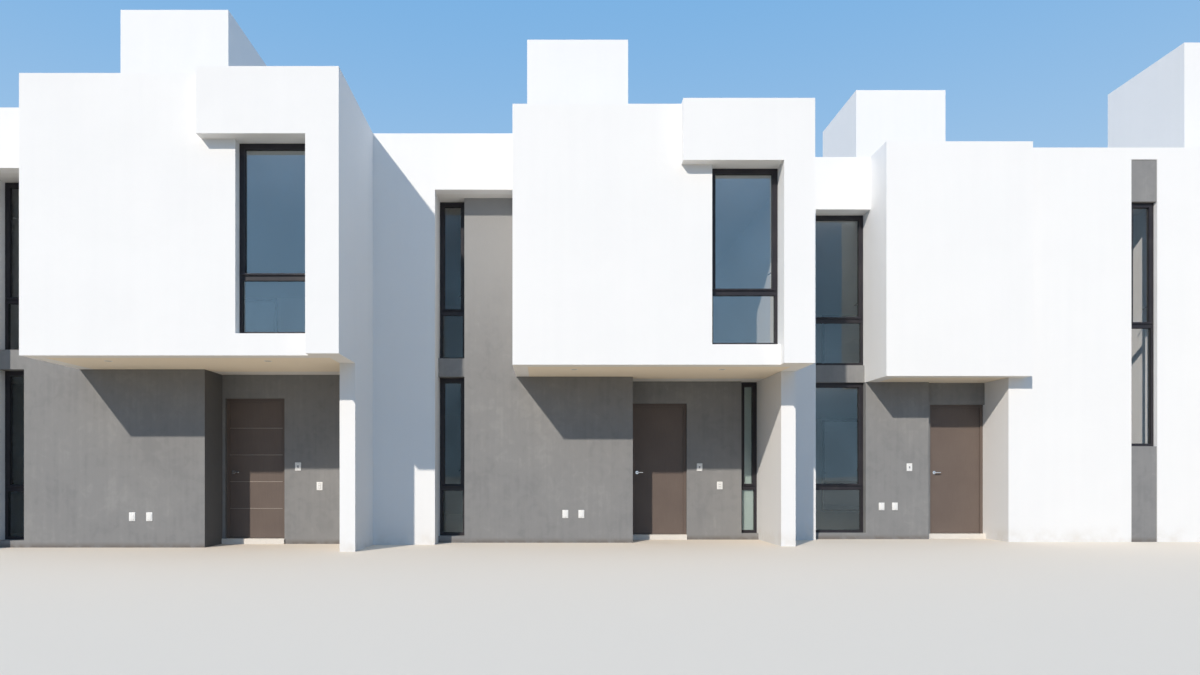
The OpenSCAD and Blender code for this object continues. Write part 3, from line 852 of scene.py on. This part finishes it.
# A drip rail on the foot of each casement and an espagnolette handle on its inner face
def makeCasementTrim():
    rails, plates, grips = Shell(), Shell(), Shell()
    along, off = catchPath()
    slope = math.radians(catch["slope"])
    thick = np.array(catch["thick"])
    for low, high in solidsOf("casement_sashes"):
        outwards = outwardsAt(low, high)
        face, inner = (low.y, high.y) if outwards < 0 else (high.y, low.y)
        ends = (low.x + drip["endGap"], high.x - drip["endGap"])
        rails.skin(railRows(ends, drip["profile"], face, low.z, outwards))

        # The handle is on the stile at the right, seen from outside, and its grip points at the pane
        x = high.x - catch["stile"] if outwards < 0 else low.x + catch["stile"]
        z = low.z + catch["rise"]
        plates.skin(plateRows((x, z), catch["width"], catch["height"], catch["corner"],
                              catch["profile"], inner, -outwards))
        path = np.column_stack((x + outwards * along * math.cos(slope), inner - outwards * off,
                                z - along * math.sin(slope)))
        grips.skin(tubeRows(path, thick * catch["flat"], thick))
    makePiece("casement_drip_rails", rails, "dark_aluminium")
    makePiece("casement_handle_plates", plates, "dark_aluminium")
    makePiece("casement_handle_grips", grips, "dark_aluminium")


flap = {
    "width": 0.026,          # m
    "height": 0.090,
    "corner": 0.004,
    "profile": ((0.0, 0.0), (0.0, 0.0022), (0.0006, 0.003)),
    "screw": 0.0042,         # radius
    "screwUp": (-0.032, 0.0, 0.032),
    "screwHead": ((0.0, 0.003), (0.0004, 0.0038), (0.0015, 0.0042)),
}


# The hinge flaps on the inner face of each leaf, with their screws
def makeLeafHinges():
    barrels = solidsOf("door_hinges")
    screw = flap["screw"]
    for letter in "abcd":
        low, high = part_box("door_" + letter)
        x = high.x - flap["width"] / 2
        shell = Shell()
        for barrelLow, barrelHigh in barrels:
            if not low.x < barrelLow.x < high.x + flap["width"]:
                continue
            z = (barrelLow.z + barrelHigh.z) / 2
            shell.skin(plateRows((x, z), flap["width"], flap["height"], flap["corner"],
                                 flap["profile"], high.y, 1, steps=3))
            for up in flap["screwUp"]:
                shell.skin(plateRows((x, z + up), 2 * screw, 2 * screw, screw,
                                     flap["screwHead"], high.y, 1))
        body = "front_door_" + letter
        makePiece("leaf_hinges_" + letter, shell, "chrome",
                  body=body if body in frame["bodies"] else "row")


strip = {
    "pitch": 0.405,          # m from the top of the leaf to the first groove, and so on
    "count": 4,
    "height": 0.007,
    "corner": 0.0015,
    "profile": ((0.0, -0.0049), (0.0, -0.0012), (0.0006, -0.0006), (0.0012, -0.0004)),
    "endGap": 0.001,
}


# Metal strips laid in the level grooves of house a's leaf, just below its faces
def makeLeafStrips():
    low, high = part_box("door_a")
    shell = Shell()
    width = high.x - low.x - 2 * strip["endGap"]
    for k in range(strip["count"]):
        centre = ((low.x + high.x) / 2, high.z - (k + 1) * strip["pitch"])
        for y, outwards in ((low.y, -1), (high.y, 1)):
            shell.skin(plateRows(centre, width, strip["height"], strip["corner"],
                                 strip["profile"], y, outwards, steps=3))
    makePiece("leaf_strips_a", shell, "chrome", "inlay", "front_door_a")


privacy = {
    "inset": 0.007,          # m, inside the gaskets
    "corner": 0.001,
    "profile": ((0.0, 0.0002), (0.0, 0.0006), (0.0002, 0.0008)),
    "doors": ("door_a", "door_b", "door_d"),
    "reach": 2.0,            # m to the right of such a door within which a window is in its porch
}


# Frosted films on the inner face of the panes beside the front doors
def makePrivacyFilms():
    shell = Shell()
    doors = [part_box(name)[1] for name in privacy["doors"]]
    for low, high in solidsOf("slim_window_glass"):
        if not any(0 < low.x - door.x < privacy["reach"] and low.z < door.z for door in doors):
            continue
        centre = ((low.x + high.x) / 2, (low.z + high.z) / 2)
        shell.skin(plateRows(centre, high.x - low.x - 2 * privacy["inset"],
                             high.z - low.z - 2 * privacy["inset"], privacy["corner"],
                             privacy["profile"], high.y, 1, steps=3))
    makePiece("privacy_films", shell, "plate_plastic", "film")


cover = {
    "corner": 0.006,         # m
    "edge": ((0.0, 0.0), (0.0, 0.0055), (0.001, 0.0075), (0.003, 0.0088), (0.006, 0.009)),
    "screwUp": (-0.051, 0.051),
    "lidUp": -0.003,
    "lidHingeUp": 0.044,
    "rockerUp": (-0.027, 0.0, 0.027),
    "socketTop": 0.75,       # m above the floor: sockets lie lower, the others higher
    "bellFoot": 1.05,
}
pads = {                     # width, height, corner and profile of what stands on a cover
    "screw": (0.006, 0.006, 0.003, ((0.0, 0.0088), (0.0003, 0.0096), (0.0012, 0.0099))),
    "lid": (0.058, 0.088, 0.005, ((0.0, 0.008), (0.0, 0.0115), (0.0012, 0.0132), (0.004, 0.0138))),
    "lidHinge": (0.040, 0.007, 0.0034,
                 ((0.0, 0.008), (0.0, 0.013), (0.0015, 0.0146), (0.003, 0.015))),
    "bell": (0.022, 0.034, 0.003,
             ((0.0, 0.0085), (0.0, 0.0105), (0.001, 0.0118), (0.004, 0.0128), (0.008, 0.013))),
    "rockerBed": (0.040, 0.027, 0.002, ((0.0, 0.0085), (0.0, 0.0093), (0.0004, 0.0095))),
    "rocker": (0.036, 0.021, 0.0015,
               ((0.0, 0.009), (0.0, 0.0112), (0.0008, 0.0122), (0.003, 0.0128))),
}


# The rows of a pad on a wall plate, moved up from its middle
def padRows(low, high, pad, up=0.0):
    width, height, corner, profile = pad
    centre = ((low.x + high.x) / 2, (low.z + high.z) / 2 + up)
    return plateRows(centre, width, height, corner, profile, high.y, -1)


# Covers with round corners in place of the plain plates: sockets with lids, a bell push and a
# plate with three rockers
def makeWallPlates():
    covers, keys = Shell(), Shell()
    for low, high in solidsOf("wall_plates"):
        outline = (high.x - low.x, high.z - low.z, cover["corner"], cover["edge"])
        covers.skin(padRows(low, high, outline))
        for up in cover["screwUp"]:
            keys.skin(padRows(low, high, pads["screw"], up))
        middle = (low.z + high.z) / 2
        if middle < cover["socketTop"]:
            covers.skin(padRows(low, high, pads["lid"], cover["lidUp"]))
            covers.skin(padRows(low, high, pads["lidHinge"], cover["lidHingeUp"]))
        elif middle > cover["bellFoot"]:
            keys.skin(padRows(low, high, pads["bell"]))
        else:
            for up in cover["rockerUp"]:
                keys.skin(padRows(low, high, pads["rockerBed"], up))
                covers.skin(padRows(low, high, pads["rocker"], up))
    made = makePiece("plate_covers", covers, "plate_plastic")
    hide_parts("wall_plates")
    makePiece("plate_keys", keys, "plate_plastic", "keys")


soffitLamp = {
    "fromLeft": (0.86, 2.975),           # m from the box's left side
    "behind": 0.49,          # m from the box's face
    "ring": ((0.054, 0.0), (0.054, 0.0012), (0.0525, 0.0028), (0.049, 0.0034), (0.0445, 0.0030),
             (0.0425, 0.0018), (0.0425, 0.0)),                      # radius and drop
    "glow": ((0.042, 0.0), (0.042, 0.0012), (0.036, 0.0020), (0.022, 0.0028), (0.006, 0.0031)),
    "narrow": 3.0,           # m: a box narrower than this has no lamps
    "around": 32,
}


# Flat round lamps in the soffits of the wide boxes: a trim ring and a frosted lens
def makeSoffitLamps():
    rings, lenses = Shell(), Shell()
    for low, high in solidsOf("box_fronts"):
        if high.x - low.x < soffitLamp["narrow"]:
            continue
        for fromLeft in soffitLamp["fromLeft"]:
            centre = Vector((low.x + fromLeft, low.y + soffitLamp["behind"], low.z))
            rings.skin(turnedRows(centre, soffitLamp["ring"], soffitLamp["around"]), ring=True)
            glow = turnedRows(centre, soffitLamp["glow"], soffitLamp["around"])
            lenses.skin(glow.transpose(1, 0, 2))
    makePiece("soffit_lamp_rings", rings, "plate_plastic")
    makePiece("soffit_lamp_lenses", lenses, "plate_plastic", "lens")


makeGaskets()
makeCasementTrim()
makeLeafHinges()
makeLeafStrips()
makePrivacyFilms()
makeWallPlates()
makeSoffitLamps()
print("trim made")
